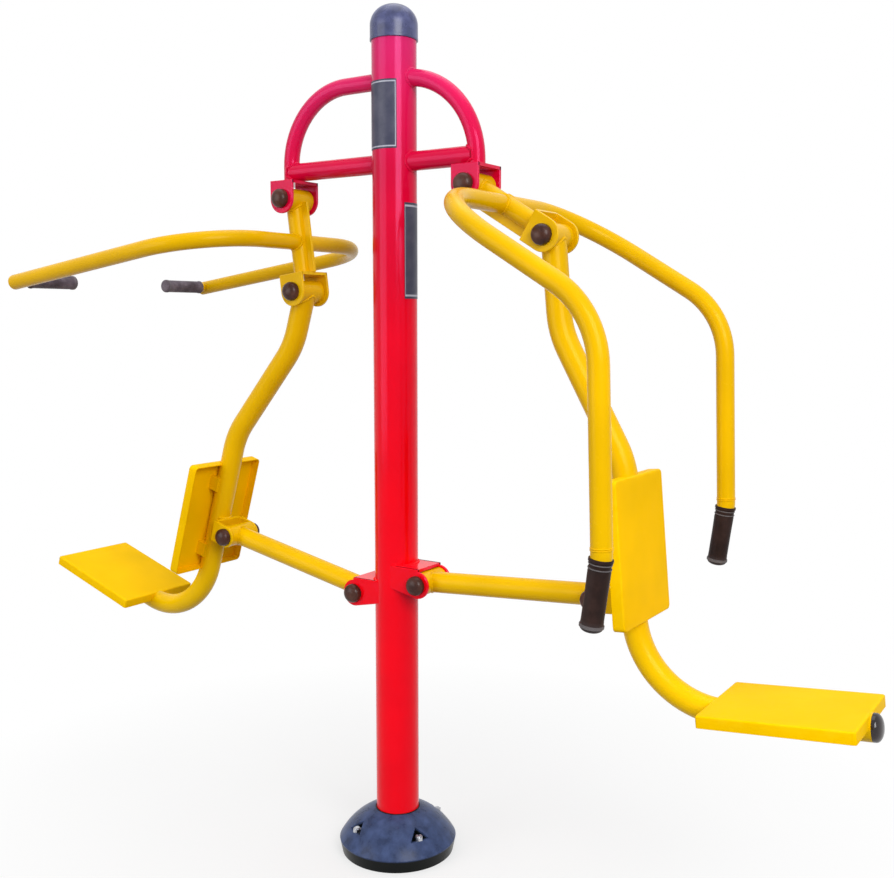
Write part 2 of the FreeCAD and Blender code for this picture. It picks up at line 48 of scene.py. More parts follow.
def shift(x, y, z):
    # a plain move
    move = np.eye(4)
    move[:3, 3] = (x, y, z)
    return move


def swingBy(angle):
    # turn about y that carries a hanging part outwards
    c, s = math.cos(math.radians(angle)), math.sin(math.radians(angle))
    turn = np.eye(4)
    turn[0, 0], turn[0, 2], turn[2, 0], turn[2, 2] = c, -s, s, c
    return turn


def heading(angle):
    # direction that hangs straight down at 0 and leans back towards -x as the angle grows
    return np.array([-math.sin(math.radians(angle)), 0.0, -math.cos(math.radians(angle))])


def carry(place, points):
    # points turned and moved by a place
    return np.asarray(points, float) @ place[:3, :3].T + place[:3, 3]


def unit(v):
    # the same direction at length 1
    v = np.asarray(v, float)
    return v / np.linalg.norm(v)


def asPoints(*coordinates):
    # columns of coordinates to rows of points, single values repeated
    return np.stack(np.broadcast_arrays(*coordinates), -1)


def circle(steps):
    # angles once round
    return np.linspace(0, 2 * math.pi, steps, endpoint=False)


def halfChord(radius, away):
    # half the width of a circle at a distance from its middle
    return np.sqrt(np.maximum(radius * radius - away * away, 0))


# The two stations and where their moving parts hang at rest
pivots = {
    "height": 1748.4, "leverLength": 249.5, "postLug": 102.0, "lugStand": 80.0, "swayOut": 168.0,
    "swayDepth": 300.0, "swayLean": 0.0955, "heelOut": 239.0, "heelDepth": 1079.5}
stations = {
    "pull": {"side": -1, "pivot": 338.0, "reach": 346.0, "swing": -7.8, "turn": 11.6,
             "cross": 115.0, "sway": 155.0, "lugDepth": 736.4, "lugHeight": 701.3, "bow": 21.2,
             "seatEnd": 722.0, "archBend": 189.0},
    "press": {"side": 1, "pivot": 245.0, "reach": 247.0, "swing": 58.7, "turn": 0.0,
              "cross": 95.0, "sway": 222.0, "lugDepth": 828.5, "lugHeight": 748.6, "bow": 22.5,
              "seatEnd": 753.0, "archBend": 217.0}}

for info in stations.values():
    facing = np.diag([info["side"], info["side"], 1.0, 1.0])
    swing = math.radians(info["swing"])
    lowPivot = (info["pivot"] + pivots["leverLength"] * math.sin(swing), 0.0,
                pivots["height"] - pivots["leverLength"] * math.cos(swing))
    hang = shift(*lowPivot) @ swingBy(info["turn"])
    first = np.array([pivots["swayLean"] * info["sway"], 0.0, -info["sway"]])
    shoulder = first + (pivots["swayOut"], 0.0, -pivots["swayDepth"])
    heel = np.array([pivots["heelOut"], 0.0, -pivots["heelDepth"]])
    down = unit(heel - shoulder)
    outward = np.array([-down[2], 0.0, down[0]])
    lugAxis = shoulder + down * (info["lugDepth"] + shoulder[2]) / -down[2]
    lugPin = lugAxis - outward * pivots["lugStand"]
    fixedEnd = np.array([pivots["postLug"], 0.0, info["lugHeight"]])
    along = carry(hang, lugPin) - fixedEnd
    lean = math.degrees(math.atan2(down[0], -down[2]))
    linkRise = math.degrees(math.atan2(along[2], along[0]))
    lever = facing @ shift(info["pivot"], 0, pivots["height"]) @ swingBy(info["swing"])
    info.update(facing=facing, first=first, shoulder=shoulder, heel=heel, down=down, lean=lean,
                span=float(np.linalg.norm(along)), lever=lever, seat=facing @ hang,
                link=facing @ shift(*fixedEnd) @ swingBy(linkRise),
                topPin=shift(info["side"] * info["pivot"], 0, pivots["height"]),
                postPin=facing @ shift(*fixedEnd),
                leverFoot=lever @ shift(0, 0, -pivots["leverLength"]),
                lugFrame=facing @ hang @ shift(*lugPin) @ swingBy(lean - 90.0))


def bentPath(points, bends, runStep=45.0, arcStep=4.0):
    # straight runs joined by tangent arcs: arc(t) = centre + radius * (out * cos t + ahead * sin t)
    points = [np.asarray(p, float) for p in points]
    pieces, last = [], points[0]

    def straight(end, closing):
        # even steps from the last arc's end
        steps = max(2, int(np.linalg.norm(end - last) / runStep) + 1)
        return last + (end - last) * np.linspace(0, 1, steps, endpoint=closing)[:, None]

    for before, corner, after, bend in zip(points, points[1:], points[2:], bends):
        ahead, leaving = unit(corner - before), unit(after - corner)
        turn = math.acos(np.clip(ahead @ leaving, -1, 1))
        run = bend * math.tan(turn / 2)
        start = corner - ahead * run
        inner = unit(leaving - ahead * (ahead @ leaving))
        centre = start + inner * bend
        pieces.append(straight(start, False))
        steps = max(3, int(math.degrees(turn) / arcStep) + 1)
        t = np.linspace(0, turn, steps, endpoint=False)[:, None]
        pieces.append(centre - inner * bend * np.cos(t) + ahead * bend * np.sin(t))
        last = corner + leaving * run
    pieces.append(straight(points[-1], True))
    return np.concatenate(pieces)


def sideFrames(path, closed):
    # a side direction carried along the path without twist, and the one square to it
    if closed:
        tangent = np.roll(path, -1, 0) - np.roll(path, 1, 0)
    else:
        tangent = np.gradient(path, axis=0)
    tangent /= np.linalg.norm(tangent, axis=1)[:, None]
    side = np.zeros_like(path)
    start = np.eye(3)[np.argmin(np.abs(tangent[0]))]
    for i, t in enumerate(tangent):
        start = unit(start - t * (start @ t))
        side[i] = start
    return side, np.cross(tangent, side)


def ringPart(rings, closed=False, rub=None):
    # quads between neighbouring rings, with flat ends unless the rings close on themselves
    count, around = rings.shape[:2]
    rows = np.arange(count if closed else count - 1)
    i, j = np.meshgrid(rows, np.arange(around), indexing="ij")
    up, over = (i + 1) % count, (j + 1) % around
    quads = asPoints(i * around + j, i * around + over, up * around + over, up * around + j)
    faces = quads.reshape(-1, 4).tolist()
    if not closed:
        faces.append(list(range(around))[::-1])
        faces.append(list(range((count - 1) * around, count * around)))
    wear = np.zeros(count) if rub is None else np.asarray(rub, float)
    return rings.reshape(-1, 3), faces, np.repeat(wear, around)


def tubeSurface(path, radius, around=40, closed=False):
    # a circle carried along a path: p(s, a) = path(s) + radius(s) * (side * cos a + lift * sin a)
    side, lift = sideFrames(path, closed)
    a = circle(around)[None, :, None]
    radius = np.broadcast_to(np.asarray(radius, float), (len(path),))[:, None, None]
    ring = side[:, None] * np.cos(a) + lift[:, None] * np.sin(a)
    return ringPart(path[:, None] + radius * ring, closed=closed)


def turnedSurface(profile, at, ahead, around=48):
    # a lathe: p(s, a) = at + ahead * along(s) + radius(s) * (side * cos a + lift * sin a),
    # where a third column of the profile gives the wear
    profile = np.asarray(profile, float)
    worn = profile[:, 2] if profile.shape[1] > 2 else None
    ahead = unit(ahead)
    side = unit(np.cross(ahead, np.eye(3)[np.argmin(np.abs(ahead))]))
    lift = np.cross(ahead, side)
    a = circle(around)[:, None]
    ring = side * np.cos(a) + lift * np.sin(a)
    along, radius = profile[:, 0, None, None], profile[:, 1, None, None]
    return ringPart(np.asarray(at, float) + ahead * along + radius * ring[None], rub=worn)


def domeRows(start, radius, crown):
    # rounded end of a lathe profile: start + rise * sin t along, radius * cos(t) ^ fullness out
    t = np.linspace(crown["first"], math.pi / 2 - crown["last"], crown["steps"])
    return asPoints(start + crown["rise"] * np.sin(t), radius * np.cos(t) ** crown["fullness"])


def inset(outline, depth):
    # each corner of a counter-clockwise outline moves in along its mitre
    edge = np.roll(outline, -1, 0) - outline
    normal = np.stack([-edge[:, 1], edge[:, 0]], 1) / np.linalg.norm(edge, axis=1)[:, None]
    before = np.roll(normal, 1, 0)
    return outline + depth * (normal + before) / (1 + (normal * before).sum(1))[:, None]


plateWear = [0.6, 1.0, 1.0, 0.6]


def plateSurface(outline, low, high, bevel):
    # an outline in x and z given thickness along y, with both rims bevelled
    rings = []
    for y, depth in [(high, bevel), (high - bevel, 0), (low + bevel, 0), (low, bevel)]:
        flat = inset(outline, depth) if depth else outline
        rings.append(asPoints(flat[:, 0], y, flat[:, 1]))
    return ringPart(np.array(rings), rub=plateWear)


def slab(x0, x1, z0, z1):
    # a rectangle, counter-clockwise
    return np.array([[x0, z0], [x1, z0], [x1, z1], [x0, z1]], float)


def roundedOutline(wide, tall, corner, steps=6):
    # a rectangle about the origin with quarter-circle corners, counter-clockwise
    t = np.linspace(0, math.pi / 2, steps)
    quarters = []
    for k, (sx, sz) in enumerate([(1, 1), (-1, 1), (-1, -1), (1, -1)]):
        a = t + k * math.pi / 2
        quarters.append(asPoints(sx * (wide / 2 - corner) + corner * np.cos(a),
                                 sz * (tall / 2 - corner) + corner * np.sin(a)))
    return np.concatenate(quarters)


weldShape = {"pitch": 5.0, "ripple": 0.12, "spacing": 1.6, "fewest": 12, "around": 10, "tip": 0.35}


def weldBead(curve, radius, closed=True):
    # a rippled bead: radius(s) = r * (1 + ripple * sin(2 pi s / pitch)), the curve spaced evenly
    curve = np.asarray(curve, float)
    if closed:
        curve = np.concatenate([curve, curve[:1]])
    length = np.concatenate([[0], np.cumsum(np.linalg.norm(np.diff(curve, axis=0), axis=1))])
    whole = length[-1]
    count = max(weldShape["fewest"], int(whole / weldShape["spacing"]))
    s = np.linspace(0, whole, count, endpoint=not closed)
    path = asPoints(*[np.interp(s, length, curve[:, k]) for k in range(3)])
    waves = max(1, round(whole / weldShape["pitch"]))
    swell = radius * (1 + weldShape["ripple"] * np.sin(2 * math.pi * waves * s / whole))
    if not closed:
        swell *= np.clip(np.minimum(s, whole - s) / radius + weldShape["tip"], 0, 1)
    return tubeSurface(path, swell, around=weldShape["around"], closed=closed)


def saddle(branch, main, steps=90):
    # where a branch tube along x meets a main tube about z: x = sqrt(main^2 - y^2)
    a = circle(steps)
    y, z = branch * np.cos(a), branch * np.sin(a)
    return asPoints(halfChord(main, y), y, z)


sharpAngle = math.radians(32.0)


def makePiece(name, parts, body, material, replaced=(), uv=None):
    # parts joined to one mesh in metres, with its wear, finish, body and replaced nodes
    points, faces, wear, start = [], [], [], 0
    for place, (verts, polys, rub) in parts:
        points.append(carry(place, verts))
        faces += [[index + start for index in poly] for poly in polys]
        wear.append(rub)
        start += len(verts)
    mesh = bpy.data.meshes.new(name)
    mesh.from_pydata(np.concatenate(points) / mmPerMetre, [], faces)
    mesh.update()
    rubbed = mesh.attributes.new("rub", "FLOAT", "POINT")
    rubbed.data.foreach_set("value", np.concatenate(wear).astype(np.float32))
    if uv is not None:
        corner = np.zeros(len(mesh.loops), int)
        mesh.loops.foreach_get("vertex_index", corner)
        sheet = mesh.uv_layers.new(name="sheet")
        sheet.data.foreach_set("uv", np.asarray(uv, np.float32)[corner].ravel())
    mesh.polygons.foreach_set("use_smooth", np.ones(len(mesh.polygons), bool))
    mesh.set_sharp_from_angle(angle=sharpAngle)
    mesh.materials.append(material)
    piece = bpy.data.objects.new(name, mesh)
    bpy.context.scene.collection.objects.link(piece)
    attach(piece, body)
    if replaced:
        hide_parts(*replaced)


def linear(code):
    # sRGB hex to the linear values that the shader takes
    raw = np.array([int(code[k:k + 2], 16) for k in (0, 2, 4)]) / 255.0
    value = np.where(raw <= 0.04045, raw / 12.92, ((raw + 0.055) / 1.055) ** 2.4)
    return (*value.tolist(), 1.0)


def addNode(tree, kind, links=None, stops=(), **settings):
    # settings are the node's own or its sockets' (_ for a space), stops go to a colour ramp, and
    # links take plain values, other nodes' outputs, or other nodes for their first output
    node = tree.nodes.new(kind)
    for key, value in settings.items():
        if hasattr(node, key):
            setattr(node, key, value)
        else:
            node.inputs[key.replace("_", " ")].default_value = value
    if stops:
        elements = node.color_ramp.elements
        while len(elements) < len(stops):
            elements.new(0.5)
        for element, (position, code) in zip(elements, stops):
            element.position = position
            element.color = linear(code)
    for socket, source in (links or {}).items():
        if isinstance(source, bpy.types.Node):
            source = source.outputs[0]
        if isinstance(source, bpy.types.NodeSocket):
            tree.links.new(source, node.inputs[socket])
        else:
            node.inputs[socket].default_value = source
    return node


def emptyTree(holder):
    # the cleared nodes of a material or a world
    holder.use_nodes = True
    holder.node_tree.nodes.clear()
    return holder.node_tree


def startMaterial(name):
    # a material, the function that adds its nodes, and the place on the part in metres
    material = bpy.data.materials.new(name)
    add = partial(addNode, emptyTree(material))
    return material, add, add("ShaderNodeTexCoord").outputs["Object"]


def finishMaterial(material, add, links, **settings):
    # one shader, and the output after it
    shader = add("ShaderNodeBsdfPrincipled", links, **settings)
    add("ShaderNodeOutputMaterial", {"Surface": shader})
    return material


# most noise values lie in this span
noiseSpan = {"From_Min": 0.3, "From_Max": 0.7}
# a mix of two colours, and the numbers of its colour sockets
colourMix = {"kind": "ShaderNodeMix", "data_type": "RGBA"}
firstIn, secondIn, mixOut = 6, 7, 2
enamelLook = {
    "tallest": 2.2, "driftSize": 160.0, "driftLow": 0.94, "driftHigh": 1.05, "scuffSize": 18.0,
    "thinnest": 0.3, "glossLess": 0.02, "glossMore": 0.03, "peelSize": 5.0, "peelStrength": 0.018,
    "peelDepth": 0.0005, "bending": 1.5}


def enamel(name, climb, light, glint, roughness, shine):
    # Powder coat on steel: a smooth thick film, so soft broad highlights and a faint orange peel.
    # Film thickness drifts over about 160 mm, and the peel is drawn at 5 mm so that it shows.
    look = enamelLook
    material, add, place = startMaterial(name)
    # the base colour follows height through the climb ramp, which carries painted light and shade
    height = add("ShaderNodeSeparateXYZ", {"Vector": place}).outputs["Z"]
    share = add("ShaderNodeMapRange", {"Value": height}, From_Max=look["tallest"])
    tone = add("ShaderNodeValToRGB", {"Fac": share},
               [(z / look["tallest"], code) for z, code in climb])
    cloud = add("ShaderNodeTexNoise", {"Vector": place}, Detail=2.0,
                Scale=mmPerMetre / look["driftSize"])
    drift = add("ShaderNodeMapRange", {"Value": cloud}, **noiseSpan,
                To_Min=look["driftLow"], To_Max=look["driftHigh"])
    film = add("ShaderNodeHueSaturation", {"Color": tone, "Value": drift})
    # thin film on bevelled rims and folds: a little paler where hands and feet rub
    rub = add("ShaderNodeAttribute", attribute_name="rub").outputs["Fac"]
    scuff = add("ShaderNodeTexNoise", {"Vector": place}, Detail=3.0,
                Scale=mmPerMetre / look["scuffSize"])
    scuffed = add("ShaderNodeMath", {0: rub, 1: scuff}, operation="MULTIPLY")
    thin = add("ShaderNodeMapRange", {"Value": scuffed}, **noiseSpan, To_Max=look["thinnest"])
    links = {"Factor": thin, firstIn: film, secondIn: linear(light)}
    paint = add(**colourMix, links=links).outputs[mixOut]
    gloss = add("ShaderNodeMapRange", {"Value": scuff}, **noiseSpan,
                To_Min=roughness - look["glossLess"], To_Max=roughness + look["glossMore"])
    peel = add("ShaderNodeTexNoise", {"Vector": place}, Detail=1.0,
               Scale=mmPerMetre / look["peelSize"])
    bump = add("ShaderNodeBump", {"Height": peel}, Strength=look["peelStrength"],
               Distance=look["peelDepth"])
    return finishMaterial(
        material, add, {"Base Color": paint, "Roughness": gloss, "Normal": bump},
        IOR=look["bending"], Specular_IOR_Level=shine, Specular_Tint=linear(glint))


plasticLook = {
    "patchSize": 35.0, "patchRoughness": 0.55, "tones": (0.30, 0.52, 0.82), "rubbed": "8E8A8C",
    "grainStrength": 0.1, "grainDepth": 0.0006, "glossDrift": 0.06, "bending": 1.49}


def mouldedPlastic(name, tones, roughness, grain, shine, bandAndPocketShade=None):
    # Moulded polyethylene or rubber: spark-eroded grain about 1 mm, drawn coarser so that it shows,
    # with pale scuffs in patches about 35 mm across and rubbed rings from the wear attribute.
    look = plasticLook
    material, add, place = startMaterial(name)
    patch = add("ShaderNodeTexNoise", {"Vector": place}, Detail=4.0,
                Scale=mmPerMetre / look["patchSize"], Roughness=look["patchRoughness"])
    tone = add("ShaderNodeValToRGB", {"Fac": patch}, list(zip(look["tones"], tones)))
    rub = add("ShaderNodeAttribute", attribute_name="rub").outputs["Fac"]
    links = {"Factor": rub, firstIn: tone, secondIn: linear(look["rubbed"])}
    colour = add(**colourMix, links=links).outputs[mixOut]
    if bandAndPocketShade:
        # a dark foot band, and painted shade in the pockets: points deeper than the dome's own
        # sphere
        height = add("ShaderNodeSeparateXYZ", {"Vector": place}).outputs["Z"]
        band = add("ShaderNodeMapRange", {"Value": height}, To_Min=1, To_Max=0,
                   From_Min=bandAndPocketShade["top"] - bandAndPocketShade["edge"], From_Max=bandAndPocketShade["top"])
        depth = add("ShaderNodeVectorMath", {0: place, 1: (0, 0, bandAndPocketShade["hub"])},
                    operation="DISTANCE").outputs["Value"]
        pocket = add("ShaderNodeMapRange", {"Value": depth}, To_Min=1, To_Max=0,
                     From_Min=bandAndPocketShade["deep"], From_Max=bandAndPocketShade["skin"])
        dark = add("ShaderNodeMath", {0: band, 1: pocket}, operation="MAXIMUM")
        links = {"Factor": dark, firstIn: colour, secondIn: linear(bandAndPocketShade["colour"])}
        colour = add(**colourMix, links=links).outputs[mixOut]
    fine = add("ShaderNodeTexNoise", {"Vector": place}, Detail=2.0, Scale=mmPerMetre / grain)
    bump = add("ShaderNodeBump", {"Height": fine}, Strength=look["grainStrength"],
               Distance=look["grainDepth"])
    gloss = add("ShaderNodeMapRange", {"Value": patch}, **noiseSpan,
                To_Min=roughness - look["glossDrift"], To_Max=roughness + look["glossDrift"])
    return finishMaterial(material, add, {"Base Color": colour, "Roughness": gloss, "Normal": bump},
                          IOR=look["bending"], Specular_IOR_Level=shine)


steelLook = {"spangleSize": 6.0, "tones": (0.1, 0.5, 0.9), "glossLess": 0.06, "glossMore": 0.1}


def platedSteel(name, tones, roughness):
    # Zinc on steel: grey metal with a patchy spangle about 6 mm across.
    look = steelLook
    material, add, place = startMaterial(name)
    spangle = add("ShaderNodeTexVoronoi", {"Vector": place},
                  Scale=mmPerMetre / look["spangleSize"]).outputs["Color"]
    split = add("ShaderNodeSeparateColor", {"Color": spangle})
    tone = add("ShaderNodeValToRGB", {"Fac": split}, list(zip(look["tones"], tones)))
    gloss = add("ShaderNodeMapRange", {"Value": split},
                To_Min=roughness - look["glossLess"], To_Max=roughness + look["glossMore"])
    return finishMaterial(material, add, {"Base Color": tone, "Roughness": gloss}, Metallic=1.0)


labelLook = {
    "stops": [(0.0, "3C3E52"), (0.455, "3C3E52"), (0.457, "AEB0BE"), (0.472, "AEB0BE"),
              (0.474, "34364A")],
    "hazeSize": 40.0, "hazeFrom": 0.4, "hazeTo": 0.8, "hazeMost": 0.22, "hazeColour": "8A8798",
    "roughness": 0.34, "bending": 1.5, "shine": 0.25}


def labelFilm(name):
    # Printed vinyl film left bare: a dark slate field with a fine pale border, slightly glossy.
    # The border follows the greater of the distances from the sheet's two middle lines.
    look = labelLook
    material, add, place = startMaterial(name)
    sheet = add("ShaderNodeUVMap", uv_map="sheet")
    across = add("ShaderNodeSeparateXYZ", {"Vector": sheet})
    sides = []
    for axis in ("X", "Y"):
        away = add("ShaderNodeMath", {0: across.outputs[axis], 1: 0.5}, operation="SUBTRACT")
        sides.append(add("ShaderNodeMath", {0: away}, operation="ABSOLUTE"))
    most = add("ShaderNodeMath", dict(enumerate(sides)), operation="MAXIMUM")
    border = add("ShaderNodeValToRGB", {"Fac": most}, look["stops"])
    border.color_ramp.interpolation = "CONSTANT"
    haze = add("ShaderNodeTexNoise", {"Vector": place}, Detail=4.0,
               Scale=mmPerMetre / look["hazeSize"])
    pale = add("ShaderNodeMapRange", {"Value": haze}, From_Min=look["hazeFrom"],
               From_Max=look["hazeTo"], To_Max=look["hazeMost"])
    links = {"Factor": pale, firstIn: border, secondIn: linear(look["hazeColour"])}
    film = add(**colourMix, links=links).outputs[mixOut]
    return finishMaterial(material, add, {"Base Color": film}, Roughness=look["roughness"],
                          IOR=look["bending"], Specular_IOR_Level=look["shine"])


# Painted light by height: the red is brightest low on the post, where the lamps reach least, and
# turns pinker towards the top, a painted reflection of the sky
redPaintedLightByHeight = [(0.1, "FF000A"), (1.0, "F6000C"), (1.45, "EA001E"), (1.8, "D00436"), (1.95, "D6144E"),
           (2.1, "DA2468")]
# Painted shade by height: the yellows turn darker and more orange higher up
seatPaintedShadeByHeight = [(0.45, "F8C400"), (0.75, "FAC400"), (1.3, "F8C000")]
yellowPaintedShadeByHeight = [(0.45, "EEC000"), (0.75, "ECBA00"), (1.3, "E8B400"), (1.75, "DEAC00")]
# The base cover's dark foot band, and painted shade in its pockets
coverBandAndPocketShade = {
    "top": 0.033, "edge": 0.003, "colour": "070B0A", "hub": -0.0558, "skin": 0.18, "deep": 0.1745}
redPowderCoat = enamel(
    "redPowderCoat", redPaintedLightByHeight, light="F2305A", glint="FF9CE4", roughness=0.15, shine=0.26)
yellowPowderCoat = enamel(
    "yellowPowderCoat", yellowPaintedShadeByHeight, light="FFD420", glint="FFF0A8", roughness=0.25, shine=0.16)
seatPowderCoat = enamel(
    "seatPowderCoat", seatPaintedShadeByHeight, light="FFD420", glint="FFE678", roughness=0.5, shine=0.04)
coverPlastic = mouldedPlastic(
    "coverPolyethylene", ("2A3552", "39476B", "4E5E89"), roughness=0.3, grain=3.0, shine=0.15,
    bandAndPocketShade=coverBandAndPocketShade)
postCapPlastic = mouldedPlastic(
    "postCapPolyethylene", ("363A5C", "4A4F78", "666B98"), roughness=0.28, grain=3.0, shine=0.4)
capPlastic = mouldedPlastic(
    "pivotCapPlastic", ("321814", "45261D", "624035"), roughness=0.3, grain=2.5, shine=0.24)
plugPlastic = mouldedPlastic(
    "tubePlugPlastic", ("1C1416", "2C2224", "5A5452"), roughness=0.14, grain=2.5, shine=0.5)
gripRubber = mouldedPlastic(
    "gripRubber", ("1A0F0D", "261714", "382622"), roughness=0.5, grain=2.2, shine=0.14)
weatheredRubber = mouldedPlastic(
    "weatheredGripRubber", ("463C42", "625862", "8A808A"), roughness=0.55, grain=2.2, shine=0.14)
zincSteel = platedSteel("zincPlatedSteel", ("9A9CA2", "B4B6BC", "D2D4D8"), roughness=0.30)
galvanisedSteel = platedSteel("galvanisedSteel", ("7C8086", "90949A", "A8ACB2"), roughness=0.45)
bareLabel = labelFilm("bareLabelFilm")
print("materials made")

# Finishes of the CAD nodes that stay in sight
finishes = {"base_cover": coverPlastic, "base_plate": galvanisedSteel, "cover_studs": zincSteel,
            "cover_nuts": zincSteel, "frame_pins": zincSteel}
for nodeName, node in cadNodes.items():
    usual = zincSteel if nodeName.endswith("_pin") else yellowPowderCoat
    for holder in node.material_slots:
        holder.material = finishes.get(nodeName, usual)


# Pieces by their finish
def redPiece(name, parts, *replaced):
    makePiece(name, parts, "frame", redPowderCoat, replaced)


def yellowPiece(name, parts, body, *replaced, coat=yellowPowderCoat):
    makePiece(name, parts, body, coat, replaced)


def capPiece(name, parts, body, *replaced, plastic=capPlastic):
    makePiece(name, parts, body, plastic, replaced)


# Post, overhead arms and their welds
postShape = {"radius": 57.15, "foot": 12.0, "top": 2150.0, "rings": 40, "around": 96}
armShape = {
    "archRadius": 21.2, "archHeight": 2027.0, "legFoot": 1796.0, "root": 20.0, "barRadius": 24.15,
    "barHeight": 1821.0, "barSink": 6.0, "bead": 4.0, "footBead": 4.5, "around": 80}
postLevels = np.linspace(postShape["foot"], postShape["top"], postShape["rings"])
postPipe = turnedSurface(asPoints(postLevels, postShape["radius"]), (0, 0, 0), alongZ,
                         postShape["around"])
redPiece("postPipe", [(here, postPipe)], "post_tube")


def arcLag(bend, past):
    # how far an arc of radius bend has left its tangent after a run of past
    past = np.maximum(past, 0.0)
    return bend - np.sqrt(bend * bend - past * past)


armWelds = []
archRadius, barRadius = armShape["archRadius"], armShape["barRadius"]
archHigh, barHigh = armShape["archHeight"], armShape["barHeight"]
for name, info in stations.items():
    out, bend = info["side"] * info["reach"], info["archBend"]
    start = info["side"] * armShape["root"]
    corners = [(start, 0, archHigh), (out, 0, archHigh), (out, 0, armShape["legFoot"])]
    path = bentPath(corners, [bend])
    redPiece(name + "ArchPipe", [(here, tubeSurface(path, archRadius))], name + "_arch")
    barEnd = out - info["side"] * armShape["barSink"]
    path = bentPath([(start, 0, barHigh), (barEnd, 0, barHigh)], [])
    redPiece(name + "BarPipe", [(here, tubeSurface(path, barRadius))], name + "_bar")
    archLevel, barLevel = (info["facing"] @ shift(0, 0, z) for z in (archHigh, barHigh))
    root = saddle(archRadius, postShape["radius"])
    root[:, 2] -= arcLag(bend, root[:, 0] - info["reach"] + bend)
    armWelds.append((archLevel, weldBead(root, armShape["bead"])))
    root = saddle(barRadius, postShape["radius"])
    armWelds.append((barLevel, weldBead(root, armShape["bead"])))
    # the bar's end hugs the leg: a bead on the leg's inner side, at the bar's own radius
    a = circle(armShape["around"])
    y = np.clip(barRadius * np.cos(a), -archRadius, archRadius)
    z = barRadius * np.sin(a)
    x = info["reach"] - halfChord(archRadius, y)
    x -= arcLag(bend, barHigh + z - archHigh + bend)
    armWelds.append((barLevel, weldBead(asPoints(x, y, z), armShape["bead"])))
    ring = asPoints(archRadius * np.cos(a), archRadius * np.sin(a), 0)
    legFoot = info["facing"] @ shift(info["reach"], 0, armShape["legFoot"])
    armWelds.append((legFoot, weldBead(ring, armShape["footBead"])))
redPiece("armWelds", armWelds)
print("post and arms made")

# Clevises and lugs: two ears and a web, all of plate
clevisShape = {
    "earInner": 46.0, "earOuter": 54.0, "topSpan": 39.0, "lowSpan": 40.0, "seatSpan": 31.0,
    "webNear": 40.0, "web": 8.0, "seatWeb": 11.0, "webInset": 0.6, "bevel": 1.4, "bead": 3.0,
    "beadInset": 2.0, "roundSteps": 25}
lugShape = {
    "ear": 35.0, "tilt": 12.0, "roofNear": 33.0, "roofTop": 41.0, "root": 14.0, "lip": 3.0,
    "bead": 4.0, "roundSteps": 30, "seamTurn": 1.2, "seamSteps": 40}


def earsAndWeb(place, ear, web):
    # two mirrored ears and the plate that joins them
    inner, outer, bevel = clevisShape["earInner"], clevisShape["earOuter"], clevisShape["bevel"]
    reach = outer - clevisShape["webInset"]
    return [(place, plateSurface(ear, inner, outer, bevel)),
            (place, plateSurface(ear, -outer, -inner, bevel)),
            (place, plateSurface(web, -reach, reach, bevel))]


def clevisParts(place, span, web):
    # ear: a half circle about the pin, with straight sides up to the web's far face
    inner, near = clevisShape["earInner"], clevisShape["webNear"]
    a = np.linspace(math.pi, 2 * math.pi, clevisShape["roundSteps"])
    arc = asPoints(span * np.cos(a), span * np.sin(a))
    ear = np.concatenate([arc, [[span, near + web], [-span, near + web]]])
    parts = earsAndWeb(place, ear, slab(-span, span, near, near + web))
    end = span - clevisShape["beadInset"]
    for y in (-inner, inner):
        corner = [[-end, y, near], [end, y, near]]
        parts.append((place, weldBead(corner, clevisShape["bead"], closed=False)))
    return parts


def lugParts(place):
    span, lip = lugShape["ear"], lugShape["lip"]
    near, far = lugShape["roofNear"], lugShape["roofTop"]
    root = lugShape["root"] - pivots["postLug"]
    # ear: a round end about the pin, a heel line that leaves it at the tilt and climbs to the post,
    # and a flat top
    tilt = math.radians(lugShape["tilt"])
    ends = (1.5 * math.pi - tilt, 2 * math.pi + math.acos(lip / span))
    a = np.linspace(*ends, lugShape["roundSteps"])
    arc = asPoints(span * np.cos(a), span * np.sin(a))
    heelEnd = [root, arc[0, 1] + (arc[0, 0] - root) * math.tan(tilt)]
    ear = np.concatenate([[heelEnd], arc, [[lip, far], [root, far]]])
    parts = earsAndWeb(place, ear, slab(root, lip, near, far))
    # beads where the ears and the roof meet the post
    post, inner = postShape["radius"], clevisShape["earInner"]
    x = halfChord(post, inner) - pivots["postLug"]
    for y in (-inner, inner):
        edge = [[x, y, heelEnd[1]], [x, y, near]]
        parts.append((place, weldBead(edge, lugShape["bead"], closed=False)))
    turn = np.linspace(-lugShape["seamTurn"], lugShape["seamTurn"], lugShape["seamSteps"])
    seam = asPoints(post * np.cos(turn) - pivots["postLug"], post * np.sin(turn), far)
    parts.append((place, weldBead(seam, lugShape["bead"], closed=False)))
    return parts


for name, info in stations.items():
    parts = clevisParts(info["topPin"], clevisShape["topSpan"], clevisShape["web"])
    redPiece(name + "TopClevis", parts, name + "_top_clevis")
    redPiece(name + "PostLug", lugParts(info["postPin"]), name + "_post_lug")
    parts = clevisParts(info["leverFoot"], clevisShape["lowSpan"], clevisShape["web"])
    yellowPiece(name + "LeverClevis", parts, name + "_lever", name + "_lever_clevis")
    parts = clevisParts(info["lugFrame"], clevisShape["seatSpan"], clevisShape["seatWeb"])
    yellowPiece(name + "SeatLug", parts, name + "_seat", name + "_seat_lug")
print("clevises and lugs made")

# Domed caps over the pivot bolts: a short rim, a rounded shoulder and a crown
capShape = {
    "radius": 25.0, "foot": 54.0, "rim": 7.0, "edgeIn": 1.2, "edgeUp": 0.9, "around": 40,
    "crown": {"rise": 16.5, "fullness": 0.85, "first": 0, "last": 0.03, "steps": 14}}


